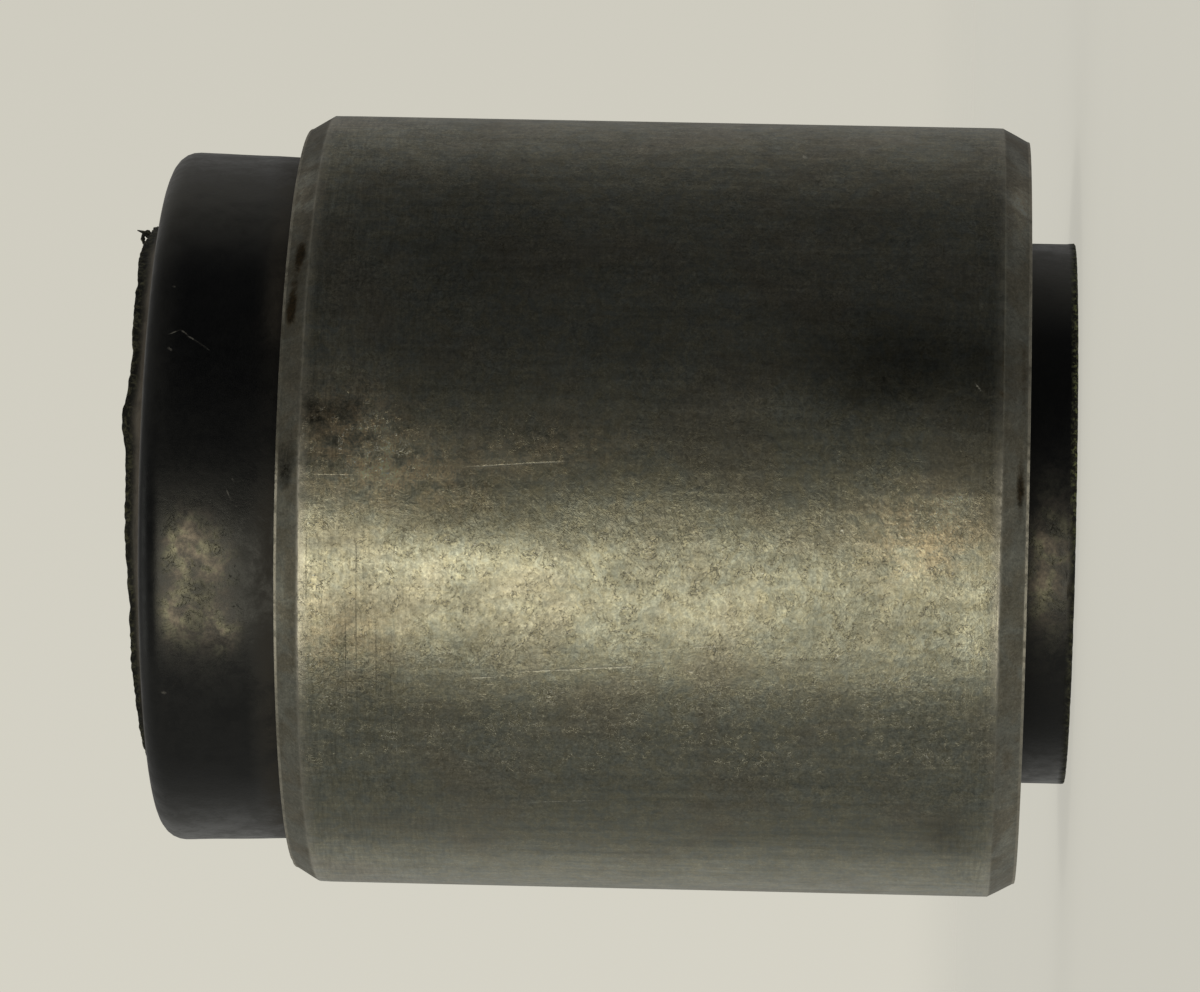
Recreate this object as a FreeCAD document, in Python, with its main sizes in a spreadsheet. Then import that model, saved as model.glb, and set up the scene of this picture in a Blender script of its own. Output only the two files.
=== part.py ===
import FreeCAD, Part
import os
import Sketcher

# Rubber metal bush: a steel outer sleeve, a moulded rubber body and a steel inner tube, bonded into one.
# Millimetres. The axis is +Z through the origin, and the bush stands on the lower boss at z = 0.

# Driving dimensions: name, value and what it measures. Angles are in degrees.
SIZES = [
    ("tube_bore", 16.0, "bore of the inner tube, for its bolt"),
    ("tube_wall", 4.0, "wall of the inner tube"),
    ("rubber_wall", 8.0, "rubber between the inner tube and the outer sleeve"),
    ("sleeve_wall", 2.5, "wall of the outer sleeve, which is then 45 across and pressed into its eye"),
    ("sleeve_length", 42.0, "outer sleeve from end to end"),
    ("chamfer_depth", 0.8, "how far both lead-in chamfers cut into the sleeve's wall"),
    ("lower_chamfer_length", 1.55, "lead-in chamfer along the axis, lower end"),
    ("upper_chamfer_length", 1.4, "lead-in chamfer along the axis, upper end"),
    ("bore_edge_break", 0.4, "broken inner edge of the sleeve at its open lower end"),
    ("shoulder_height", 7.9, "rubber shoulder above the sleeve, as wide as the sleeve's bore"),
    ("shoulder_flare", 0.25, "how much wider the shoulder's rim is than its root, on the radius"),
    ("shoulder_rim_radius", 1.3, "rounding of the shoulder's rim"),
    ("boss_wall", 3.8, "rubber boss round the inner tube, at both ends"),
    ("boss_root_chamfer", 0.5, "moulded chamfer where a boss rises from the rubber face round it"),
    ("lower_boss_height", 2.8, "lower boss, from the sleeve's end down to the standing face"),
    ("upper_boss_height", 1.07, "upper boss above the shoulder, on the axis"),
    ("trim_angle", 1.07, "slant of the upper boss's trimmed face, higher towards +X"),
    ("rubber_recess", 1.0, "rubber face above the sleeve's lower end, round the lower boss"),
    ("tube_recess", 0.6, "how far the tube's ends lie inside the rubber, on the axis"),
    ("tube_edge_chamfer", 0.5, "chamfers at the ends of the tube's bore"),
]

# Heights and radii that two pieces share, worked out from the sheet.
SLEEVE_FOOT = "Sizes.lower_boss_height"
SLEEVE_HEAD = SLEEVE_FOOT + " + Sizes.sleeve_length"
SHOULDER_FACE = SLEEVE_HEAD + " + Sizes.shoulder_height"
UPPER_BOSS_FACE = SHOULDER_FACE + " + Sizes.upper_boss_height"
TUBE_BORE_RADIUS = "Sizes.tube_bore / 2"
TUBE_RADIUS = TUBE_BORE_RADIUS + " + Sizes.tube_wall"
BOSS_RADIUS = TUBE_RADIUS + " + Sizes.boss_wall"
SLEEVE_BORE_RADIUS = TUBE_RADIUS + " + Sizes.rubber_wall"
SLEEVE_RADIUS = SLEEVE_BORE_RADIUS + " + Sizes.sleeve_wall"
BASE = "0"


def make_sheet(doc):
    """Spreadsheet with one named cell for each driving dimension."""
    sheet = doc.addObject("Spreadsheet::Sheet", "Sizes")
    for row, (name, value, note) in enumerate(SIZES, start=1):
        sheet.set(f"A{row}", note)
        sheet.set(f"B{row}", str(value))
        sheet.setAlias(f"B{row}", name)
    doc.recompute()
    return sheet


def origin_plane(body, role):
    """The body's own origin plane with this role."""
    return next(feature for feature in body.Origin.OriginFeatures if feature.Role == role)


def make_body(doc, label):
    """Empty body at the origin, whose label is the sub-part's name."""
    body = doc.addObject("PartDesign::Body", label)
    body.Label = label
    body.Placement = FreeCAD.Placement()
    return body


def turned_solid(body, name, corners):
    """Solid of revolution about Z. Each corner of its section is a radius and a height, as expressions."""
    sketch = body.newObject("Sketcher::SketchObject", name + "_section")
    sketch.AttachmentSupport = [(origin_plane(body, "XZ_Plane"), "")]
    sketch.MapMode = "FlatFace"
    points = [
        FreeCAD.Vector(float(sketch.evalExpression(radius)), float(sketch.evalExpression(height)), 0)
        for radius, height in corners
    ]
    for start, end in zip(points, points[1:] + points[:1]):
        sketch.addGeometry(Part.LineSegment(start, end))
    for index in range(len(corners)):
        following = (index + 1) % len(corners)
        sketch.addConstraint(Sketcher.Constraint("Coincident", index, 2, following, 1))
    for index, (radius, height) in enumerate(corners):
        bind_distance(sketch, "DistanceX", index, points[index].x, radius)
        if height == BASE:
            sketch.addConstraint(Sketcher.Constraint("PointOnObject", index, 1, -1))
        else:
            bind_distance(sketch, "DistanceY", index, points[index].y, height)
    turned = body.newObject("PartDesign::Revolution", name)
    turned.Profile = sketch
    turned.ReferenceAxis = (sketch, ["V_Axis"])
    turned.Angle = 360
    body.Document.recompute()
    return turned


def bind_distance(sketch, kind, line, value, expression):
    """Distance from the sketch's origin to the start of a line, bound to an expression."""
    index = sketch.addConstraint(Sketcher.Constraint(kind, -1, 1, line, 1, value))
    sketch.setExpression(f"Constraints[{index}]", expression)


def ring_edge(shape, radius, height):
    """Name of the circular edge at this radius and height."""
    for index, edge in enumerate(shape.Edges, start=1):
        curve = edge.Curve
        if not isinstance(curve, Part.Circle):
            continue
        if abs(curve.Radius - radius) < 1e-4 and abs(curve.Center.z - height) < 1e-4:
            return f"Edge{index}"
    raise RuntimeError(f"no edge with radius {radius} at height {height}")


def round_ring(body, name, base, radius, height, size):
    """Fillet on the circular edge of base at this radius and height."""
    at_radius = float(body.evalExpression(radius))
    at_height = float(body.evalExpression(height))
    fillet = body.newObject("PartDesign::Fillet", name)
    fillet.Base = (base, [ring_edge(base.Shape, at_radius, at_height)])
    fillet.setExpression("Radius", size)
    body.Document.recompute()
    return fillet


def make_outer_sleeve(doc):
    """Turned steel sleeve with a lead-in chamfer at each end."""
    body = make_body(doc, "outer_sleeve")
    chamfered_radius = SLEEVE_RADIUS + " - Sizes.chamfer_depth"
    corners = [
        (SLEEVE_BORE_RADIUS + " + Sizes.bore_edge_break", SLEEVE_FOOT),
        (chamfered_radius, SLEEVE_FOOT),
        (SLEEVE_RADIUS, SLEEVE_FOOT + " + Sizes.lower_chamfer_length"),
        (SLEEVE_RADIUS, SLEEVE_HEAD + " - Sizes.upper_chamfer_length"),
        (chamfered_radius, SLEEVE_HEAD),
        (SLEEVE_BORE_RADIUS, SLEEVE_HEAD),
        (SLEEVE_BORE_RADIUS, SLEEVE_FOOT + " + Sizes.bore_edge_break"),
    ]
    turned_solid(body, "sleeve_turning", corners)
    return body


def make_rubber_body(doc):
    """Moulded rubber: it fills the space between the metals, with a shoulder above and a boss at each end."""
    body = make_body(doc, "rubber_body")
    recess_face = SLEEVE_FOOT + " + Sizes.rubber_recess"
    rim_radius = SLEEVE_BORE_RADIUS + " + Sizes.shoulder_flare"
    root_radius = BOSS_RADIUS + " + Sizes.boss_root_chamfer"
    uncut_boss_face = UPPER_BOSS_FACE + f" + 2 * ({BOSS_RADIUS}) * tan(Sizes.trim_angle)"
    corners = [
        (TUBE_RADIUS, BASE),
        (BOSS_RADIUS, BASE),
        (BOSS_RADIUS, recess_face + " - Sizes.boss_root_chamfer"),
        (root_radius, recess_face),
        (SLEEVE_BORE_RADIUS, recess_face),
        (SLEEVE_BORE_RADIUS, SLEEVE_HEAD),
        (rim_radius, SHOULDER_FACE),
        (root_radius, SHOULDER_FACE),
        (BOSS_RADIUS, SHOULDER_FACE + " + Sizes.boss_root_chamfer"),
        (BOSS_RADIUS, uncut_boss_face),
        (TUBE_RADIUS, uncut_boss_face),
    ]
    moulded = turned_solid(body, "rubber_moulding", corners)
    trimmed = trim_upper_boss(body, moulded)
    round_ring(body, "shoulder_rim", trimmed, rim_radius, SHOULDER_FACE, "Sizes.shoulder_rim_radius")
    return body


def trim_upper_boss(body, moulded):
    """The upper boss was cut off at a slant, so its face is higher on one side."""
    sketch = body.newObject("Sketcher::SketchObject", "trim_plane_circle")
    sketch.AttachmentSupport = [(origin_plane(body, "XY_Plane"), "")]
    sketch.MapMode = "FlatFace"
    slant = -float(body.evalExpression("Sizes.trim_angle"))
    lift = FreeCAD.Vector(0, 0, float(body.evalExpression(UPPER_BOSS_FACE)))
    sketch.AttachmentOffset = FreeCAD.Placement(lift, FreeCAD.Rotation(FreeCAD.Vector(0, 1, 0), slant))
    sketch.setExpression("AttachmentOffset.Base.z", UPPER_BOSS_FACE)
    reach = BOSS_RADIUS + " + Sizes.upper_boss_height"
    circle = Part.Circle(FreeCAD.Vector(0, 0, 0), FreeCAD.Vector(0, 0, 1), float(body.evalExpression(reach)))
    sketch.addGeometry(circle)
    sketch.addConstraint(Sketcher.Constraint("Coincident", 0, 3, -1, 1))
    index = sketch.addConstraint(Sketcher.Constraint("Radius", 0, circle.Radius))
    sketch.setExpression(f"Constraints[{index}]", reach)
    trimmed = body.newObject("PartDesign::Pocket", "upper_boss_trim")
    trimmed.Profile = sketch
    trimmed.Type = "ThroughAll"
    trimmed.Reversed = True
    body.Document.recompute()
    if trimmed.Shape.Volume >= moulded.Shape.Volume:
        raise RuntimeError("the slanted trim cuts nothing off the upper boss")
    return trimmed


def make_inner_tube(doc):
    """Thick steel tube on the axis, which its bolt clamps. Both ends lie just inside the rubber."""
    body = make_body(doc, "inner_tube")
    foot = "Sizes.tube_recess"
    head = UPPER_BOSS_FACE + " - Sizes.tube_recess"
    mouth_radius = TUBE_BORE_RADIUS + " + Sizes.tube_edge_chamfer"
    corners = [
        (mouth_radius, foot),
        (TUBE_RADIUS, foot),
        (TUBE_RADIUS, head),
        (mouth_radius, head),
        (TUBE_BORE_RADIUS, head + " - Sizes.tube_edge_chamfer"),
        (TUBE_BORE_RADIUS, foot + " + Sizes.tube_edge_chamfer"),
    ]
    turned_solid(body, "tube_turning", corners)
    return body


def check(doc, bodies):
    """Stop if an object failed, or if a sub-part isn't one valid solid."""
    for item in doc.Objects:
        if {"Invalid", "Error"} & set(item.State):
            raise RuntimeError(f"{item.Name} failed: {item.State}")
    for body in bodies:
        shape = body.Shape
        if shape.isNull() or not shape.isValid() or len(shape.Solids) != 1:
            raise RuntimeError(f"{body.Label} is not one valid solid")
        print(f"{body.Label}: {shape.Volume:.1f} cubic mm, {shape.BoundBox}")


def main():
    doc = FreeCAD.newDocument("rubber_metal_bush")
    make_sheet(doc)
    bodies = [make_outer_sleeve(doc), make_rubber_body(doc), make_inner_tube(doc)]
    doc.recompute()
    check(doc, bodies)
    os.makedirs("parts", exist_ok=True)
    for body in bodies:
        body.Shape.exportStep(os.path.join("parts", body.Label + ".step"))


main()
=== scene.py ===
import math

import bmesh
import bpy
from mathutils import Matrix, Vector, noise


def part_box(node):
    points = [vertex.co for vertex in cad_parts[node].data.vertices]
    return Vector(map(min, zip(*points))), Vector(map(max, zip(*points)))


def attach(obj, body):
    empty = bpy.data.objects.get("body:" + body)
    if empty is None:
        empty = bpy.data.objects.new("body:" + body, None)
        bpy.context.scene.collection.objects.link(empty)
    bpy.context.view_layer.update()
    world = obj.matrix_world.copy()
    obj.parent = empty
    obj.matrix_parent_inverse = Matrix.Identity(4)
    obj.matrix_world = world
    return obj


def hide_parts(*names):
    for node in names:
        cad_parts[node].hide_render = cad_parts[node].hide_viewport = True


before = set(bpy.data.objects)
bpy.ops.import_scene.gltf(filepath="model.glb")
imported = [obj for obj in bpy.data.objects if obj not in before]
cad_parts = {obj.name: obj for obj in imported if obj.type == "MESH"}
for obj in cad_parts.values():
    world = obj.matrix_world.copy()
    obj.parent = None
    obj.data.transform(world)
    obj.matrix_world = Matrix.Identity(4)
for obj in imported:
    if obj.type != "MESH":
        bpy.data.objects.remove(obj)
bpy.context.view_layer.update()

# Sizes of the bush in millimetres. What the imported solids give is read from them.
# The axis is Z. An angle of 0 degrees faces the camera, and +90 degrees is the picture's lower side.
MM = 0.001
SLEEVE_LOW, SLEEVE_TOP = [[value / MM for value in corner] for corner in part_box("outer_sleeve")]
TUBE_LOW, TUBE_TOP = [[value / MM for value in corner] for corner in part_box("inner_tube")]
SLEEVE_RADIUS = SLEEVE_TOP[0]
SLEEVE_FOOT = SLEEVE_LOW[2]
SLEEVE_HEAD = SLEEVE_TOP[2]
SLEEVE_WALL = 2.5
SLEEVE_BORE = SLEEVE_RADIUS - SLEEVE_WALL
CHAMFER_DEPTH = 0.8
LOWER_CHAMFER = 1.55
UPPER_CHAMFER = 1.4
TUBE_RADIUS = TUBE_TOP[0]
TUBE_BORE = 8.0
TUBE_FOOT = TUBE_LOW[2]
TUBE_HEAD = TUBE_TOP[2]
SHOULDER_FACE = SLEEVE_HEAD + 7.9
SHOULDER_FLARE = 0.25
RIM_RADIUS = SLEEVE_BORE + SHOULDER_FLARE
RIM_ROUNDING = 1.3
BOSS_RADIUS = 15.8
BOSS_ROOT = 0.5
RECESS_FACE = SLEEVE_FOOT + 1.0
UPPER_BOSS_HEIGHT = 1.07
TRIM_SLOPE = 0.0187

# The torn upper boss: angle, half width in degrees and extra height of each lump on its cut rim.
TORN_LUMPS = [
    (-88, 9.0, -0.14),
    (-76, 6.0, -0.12),
    (-60, 5.0, 0.12),
    (-30, 6.0, -0.10),
    (-17, 3.5, 0.28),
    (-12, 3.0, 0.12),
    (8, 5.0, 0.08),
    (24, 4.0, -0.10),
    (140, 7.0, 0.20),
    (-130, 9.0, -0.15),
]


def arc_angle(x, y):
    """Degrees round the axis from the line that faces the camera, towards the picture's lower side."""
    return math.degrees(math.atan2(-x, -y))


def degrees_apart(first, second):
    return abs((first - second + 180) % 360 - 180)


def clamped(value):
    """The value, held between 0 and 1."""
    return min(max(value, 0), 1)


def smooth_step(low, high, value):
    """0 at low, 1 at high, the same beyond them, and smooth between them. Low may be the greater one."""
    share = clamped((value - low) / (high - low))
    return share * share * (3 - 2 * share)


def window(value, edges):
    """1 between the two middle edges, 0 outside the outer two, and smooth between them."""
    low, full, still_full, high = edges
    return smooth_step(low, full, value) * smooth_step(high, still_full, value)


def bump(distance, half_width):
    """Round lump: 1 at no distance, about 0 past two half widths."""
    return math.exp(-((distance / half_width) ** 2))


def fractal(place, scale, octaves=4):
    """Fractal noise of about -1 to 1 at a place in millimetres."""
    return noise.fractal(Vector(place) * scale, 0.8, 2.1, octaves)


# Turned profiles
ARC_STEPS = 6


def rounded_profile(corners):
    """Closed section. Each corner is a radius, a height, its rounding and the step of the run after it."""
    points = []
    steps = []
    for index, (radius, height, rounding, step) in enumerate(corners):
        here = Vector((radius, height))
        before = Vector(corners[index - 1][:2])
        after = Vector(corners[(index + 1) % len(corners)][:2])
        arc = [here] if rounding == 0 else rounded_corner(before, here, after, rounding)
        points += arc
        steps += [None] * (len(arc) - 1) + [step]
    return divided(points, steps)


def rounded_corner(before, here, after, rounding):
    """Points of the arc that rounds one corner."""
    back = (before - here).normalized()
    ahead = (after - here).normalized()
    half = back.angle(ahead) / 2
    centre = here + (back + ahead).normalized() * rounding / math.sin(half)
    spoke = here + back * rounding / math.tan(half) - centre
    turn = math.pi - 2 * half
    if back.x * ahead.y - back.y * ahead.x > 0:
        turn = -turn
    return [centre + Matrix.Rotation(turn * k / ARC_STEPS, 2) @ spoke for k in range(ARC_STEPS + 1)]


def divided(points, steps):
    """The same outline with each straight run cut into pieces no longer than its step."""
    dense = []
    for index, start in enumerate(points):
        end = points[(index + 1) % len(points)]
        step = steps[index]
        pieces = 1 if step is None else max(1, math.ceil((end - start).length / step))
        dense += [start.lerp(end, piece / pieces) for piece in range(pieces)]
    return dense


def turned_piece(name, profile, segments, shape, masks):
    """Mesh turned about Z. shape moves each point, and each mask paints a number from 0 to 1 on it."""
    rows = len(profile)
    vertices = []
    painted = {mask: [] for mask in masks}
    for segment in range(segments):
        turn = 2 * math.pi * segment / segments
        across, along = math.cos(turn), math.sin(turn)
        angle = arc_angle(across, along)
        for point in profile:
            radius, height = shape(point.x, point.y, angle, across, along)
            vertices.append((radius * across * MM, radius * along * MM, height * MM))
            for mask, paint in masks.items():
                painted[mask].append(paint(point.x, point.y, angle))
    faces = []
    for segment in range(segments):
        start = segment * rows
        beyond = (segment + 1) % segments * rows
        for row in range(rows):
            above = (row + 1) % rows
            faces.append((start + row, beyond + row, beyond + above, start + above))
    mesh = bpy.data.meshes.new(name)
    mesh.from_pydata(vertices, [], faces)
    mesh.polygons.foreach_set("use_smooth", [True] * len(faces))
    for mask, values in painted.items():
        mesh.attributes.new(mask, "FLOAT", "POINT").data.foreach_set("value", values)
    mesh.update()
    piece = bpy.data.objects.new(name, mesh)
    bpy.context.scene.collection.objects.link(piece)
    return piece


def spotted(spots, height, angle, sharpness=1):
    """Sum of soft round spots. A higher sharpness gives each a flatter middle and a harder edge."""
    total = 0
    for spot_angle, spot_height, half_width, half_height, strength in spots:
        around = degrees_apart(angle, spot_angle) / half_width
        along = (height - spot_height) / half_height
        total += strength * bump(math.hypot(around, along) ** sharpness, 1.0)
    return total


# Outer sleeve
SLEEVE_SEGMENTS = 480
LIP_ROUNDING = 0.04
LIP_LAND = 0.13
CHAMFER_ROUNDING = 0.22
# How far the sleeve's edges are worn and how uneven the wear is, in millimetres, and how far it reaches.
EDGE_WEAR = 0.018
EDGE_UNEVENNESS = 0.028
EDGE_REACH = 0.35
# Stretches round the sleeve: the degrees where each one starts, is full, is still full and ends.
# On the lit front the edges get a painted highlight.
LIT_FRONT = (-12, -4, 22, 32)
# The lively front is the lit front, where the grain's contrast and glints are painted stronger.
LIVELY_FRONT = (-4, 6, 36, 48)
CALM_SIDE = (42, 56, 100, 125)
DULL_UPPER_LIP = (-29, -25, -8, -3)
# Small dents on the sleeve's edges: angle, height, half size in millimetres and depth.
DENTS = [
    (84, SLEEVE_FOOT + 1.7, 0.5, 0.10),
    (77, SLEEVE_HEAD - 0.4, 0.6, 0.10),
    (13, SLEEVE_FOOT + 1.5, 0.35, 0.05),
    (-88, SLEEVE_HEAD - 1.3, 0.5, 0.06),
]


def sleeve_shape(radius, height, angle, across, along):
    """The sleeve's edges are a little uneven and dented."""
    outside = smooth_step(SLEEVE_BORE + 0.6, SLEEVE_BORE + 1.2, radius)
    place = (radius * across, radius * along, height)
    to_edge = min(abs(height - SLEEVE_FOOT - LOWER_CHAMFER), abs(height - SLEEVE_HEAD + UPPER_CHAMFER))
    near_edge = bump(to_edge, EDGE_REACH)
    inward = outside * near_edge * (EDGE_WEAR + EDGE_UNEVENNESS * fractal(place, 0.9))
    for dent_angle, dent_height, size, depth in DENTS:
        around = math.radians(degrees_apart(angle, dent_angle)) * radius
        inward += outside * depth * bump(math.hypot(around, height - dent_height), size)
    return radius - inward, height


def sleeve_burnish(radius, height, angle):
    """The edges are rubbed bright all round, and on the lit front a painted highlight makes them brighter
    still.
    """
    lit = window(angle, LIT_FRONT)
    to_end = min(abs(height - SLEEVE_HEAD), abs(height - SLEEVE_FOOT))
    off_lip = to_end + abs(radius - SLEEVE_RADIUS + CHAMFER_DEPTH) * 0.5
    lips = (1 - smooth_step(LIP_LAND + 0.01, LIP_LAND + 0.05, off_lip)) * (0.7 + 0.3 * lit)
    if height > SLEEVE_HEAD - 1:
        lips *= 1 - 0.75 * window(angle, DULL_UPPER_LIP)
    inside = abs(radius - SLEEVE_RADIUS) * 0.5
    upper_corner = (0.5 + 0.5 * lit) * bump(abs(height - SLEEVE_HEAD + UPPER_CHAMFER) + inside, 0.14)
    lower_corner = (0.3 + 0.7 * lit) * bump(abs(height - SLEEVE_FOOT - LOWER_CHAMFER) + inside, 0.10)
    return max(lips, upper_corner, lower_corner)


# Every spot below has its angle, height, half width in degrees, half height in millimetres and strength.
# Rust on the sleeve
RUST_SPOTS = [
    (-38.5, SLEEVE_HEAD - 0.90, 2.6, 0.34, 0.85),
    (-33.5, SLEEVE_HEAD - 0.62, 6.0, 0.36, 0.55),
    (-28.5, SLEEVE_HEAD - 0.50, 2.4, 0.32, 0.90),
    (-3, SLEEVE_FOOT + 0.50, 5.0, 0.28, 0.75),
    (-20, SLEEVE_FOOT + 0.4, 10, 0.28, 0.45),
    (-29, SLEEVE_FOOT + 1.65, 2.0, 0.12, 0.50),
    (-22, SLEEVE_FOOT + 1.60, 3.5, 0.12, 0.55),
    (-17, SLEEVE_FOOT + 1.65, 1.0, 0.16, 0.65),
    (-9, SLEEVE_FOOT + 1.60, 2.0, 0.10, 0.45),
    (44, SLEEVE_FOOT + 1.60, 1.0, 0.16, 0.60),
]


def sleeve_rust(radius, height, angle):
    return clamped(spotted(RUST_SPOTS, height, angle))


# Lighter and darker patches on the sleeve: stains and wear, plus painted highlight and painted shade, such
# as the large dark patch on the shaded side and the lighter patches that move the band of light at both
# ends. Their strength is in doublings of the brightness.
SLEEVE_PATCHES = [
    (-21.5, 9.8, 6.5, 5.0, -1.15),
    (-1, 8.5, 5.0, 4.0, 0.40),
    (17, 8.5, 5.0, 4.5, -0.25),
    (18, 39.5, 5.5, 5.0, -0.35),
    (-17.5, 11.5, 3.0, 1.8, -0.5),
    (-19, 5.5, 6.0, 1.6, -0.4),
    (-22, 41.4, 7.7, 2.5, 0.25),
    (-6, 39.0, 5.0, 3.6, 0.5),
    (-12, 39.2, 5.1, 1.1, 0.38),
    (-6, 41.9, 1.7, 1.4, -0.3),
    (9, 34.7, 3.2, 5.0, 0.38),
    (11, 42.7, 3.6, 1.1, 0.38),
    (28, 40.3, 8.3, 2.8, -0.42),
    (-41, 34.7, 12.2, 4.4, -0.32),
    (-6, 32.2, 1.0, 3.1, 0.38),
    (-2, 32.5, 1.7, 3.1, -0.32),
    (8, 9.6, 3.6, 0.9, 0.5),
    (-1, 6.9, 2.5, 1.1, 0.58),
    (-15, 18.1, 2.6, 2.5, 0.32),
    (18, 5.8, 4.5, 0.8, 0.5),
    (32, 33.1, 1.4, 4.4, -0.25),
    (3, 42.3, 1.7, 1.1, 0.5),
    (16, 21.9, 1.8, 1.1, 0.26),
    (15, 13.6, 2.9, 2.2, -0.23),
    (56, 6.7, 7.1, 1.1, -0.42),
    (33, 8.6, 4.3, 1.4, -0.23),
    (2.2, 34.5, 2.8, 4.8, -0.6),
    (22, 34.5, 3.5, 4.0, -0.3),
    (-52, 42.9, 9.0, 1.6, 0.4),
    (-52, 44.4, 9.0, 0.7, 0.65),
    (16, 44.4, 5.0, 0.7, 0.6),
    (-53, 3.4, 9.0, 0.8, 0.95),
    (54, 3.4, 10.0, 0.8, 0.45),
]


def sleeve_tone(radius, height, angle):
    """0.5 on plain steel, more on lighter patches and less on darker ones: 0.25 is one doubling."""
    return clamped(0.5 + spotted(SLEEVE_PATCHES, height, angle) / 4)


# Black soot on the sleeve, and rubbed places where the grain is rougher and browner
SLEEVE_SOOT = [
    (-12.6, 43.1, 2.2, 0.55, 0.9),
    (-10.8, 42.2, 2.8, 0.7, 0.6),
    (-12.5, 41.0, 2.2, 1.2, 0.45),
    (-8.5, 40.2, 1.4, 1.6, 0.4),
    (-5.5, SLEEVE_HEAD - 0.65, 2.6, 0.55, 0.7),
    (-3.0, SLEEVE_HEAD - 0.55, 1.8, 0.40, 0.6),
]
SLEEVE_RUBBED = [
    (-9, 40.5, 8.0, 3.6, 1.0),
    (-3, 36.0, 5.0, 4.0, 0.6),
    (-8, 29.0, 5.0, 5.0, 0.5),
    (3, 8.5, 7.0, 3.6, 0.8),
    (21, 41.0, 8.0, 3.0, 0.5),
]


def sleeve_soot(radius, height, angle):
    return clamped(spotted(SLEEVE_SOOT, height, angle, 2))


def sleeve_rubbed(radius, height, angle):
    return clamped(spotted(SLEEVE_RUBBED, height, angle))


def sleeve_calm(radius, height, angle):
    """More than 0 along the picture's lower edge, where the grain is finer."""
    return 0.55 * window(angle, CALM_SIDE)


def sleeve_lively(radius, height, angle):
    """1 along the lit front of the sleeve, where the grain is painted with more contrast and its pale
    veins are painted as glints.
    """
    return window(angle, LIVELY_FRONT)


def sleeve_chamfer(radius, height, angle):
    """1 on the two chamfers and the end faces, 0 on the turned outside."""
    below = 1 - smooth_step(-0.12, 0.06, height - SLEEVE_FOOT - LOWER_CHAMFER)
    above = smooth_step(-0.06, 0.12, height - SLEEVE_HEAD + UPPER_CHAMFER)
    return max(below, above)


def make_sleeve():
    lip = SLEEVE_RADIUS - CHAMFER_DEPTH
    corners = [
        (SLEEVE_BORE + 0.4, SLEEVE_FOOT, 0.12, 0.4),
        (lip, SLEEVE_FOOT, LIP_ROUNDING, LIP_LAND),
        (lip + 0.03, SLEEVE_FOOT + LIP_LAND, LIP_ROUNDING, 0.07),
        (SLEEVE_RADIUS, SLEEVE_FOOT + LOWER_CHAMFER, 0.5 * CHAMFER_ROUNDING, 0.55),
        (SLEEVE_RADIUS, SLEEVE_HEAD - UPPER_CHAMFER, CHAMFER_ROUNDING, 0.07),
        (lip + 0.03, SLEEVE_HEAD - LIP_LAND, LIP_ROUNDING, LIP_LAND),
        (lip, SLEEVE_HEAD, LIP_ROUNDING, 0.4),
        (SLEEVE_BORE, SLEEVE_HEAD, 0.06, 4.0),
        (SLEEVE_BORE, SLEEVE_FOOT + 0.4, 0.12, 0.3),
    ]
    masks = {
        "burnish": sleeve_burnish,
        "rust": sleeve_rust,
        "chamfer": sleeve_chamfer,
        "tone": sleeve_tone,
        "soot": sleeve_soot,
        "rubbed": sleeve_rubbed,
        "calm": sleeve_calm,
        "lively": sleeve_lively,
    }
    return turned_piece("steel_sleeve", rounded_profile(corners), SLEEVE_SEGMENTS, sleeve_shape, masks)


# Rubber body
RUBBER_SEGMENTS = 600
# Nibs left on the lower boss's trimmed rim: angle, half width in degrees and size in millimetres.
NIBS = [
    (16, 1.2, 0.16),
    (27, 1.0, 0.10),
    (36, 1.6, 0.12),
    (43, 1.0, 0.08),
    (49, 1.3, 0.10),
    (-28, 1.5, 0.06),
]
# Stretches round the rubber: the degrees where each one starts, is full, is still full and ends.
CLEAN_ROOT = (-30, -22, -6, 2)
SPECKLED_RIM = (-95, -60, -10, 15)
# How rough the torn face, its frayed rim, the trimmed rim and the moulded faces are, in millimetres.
TORN_WAVES = 0.075
TORN_GRAIN = 0.035
FRAY = 0.07
TRIM_GRAIN = 0.07
TRIM_WAVES = 0.04
TRIM_LIFT = 0.05
MOULD_WAVES = 0.02


def trim_height(angle, across, radius):
    """Height of the torn face above the shoulder, at this angle and radius."""
    height = UPPER_BOSS_HEIGHT + TRIM_SLOPE * radius * across
    near_rim = smooth_step(12.5, 15.4, radius)
    for lump_angle, half_width, extra in TORN_LUMPS:
        height += extra * bump(degrees_apart(angle, lump_angle), half_width) * near_rim
    return height


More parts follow.
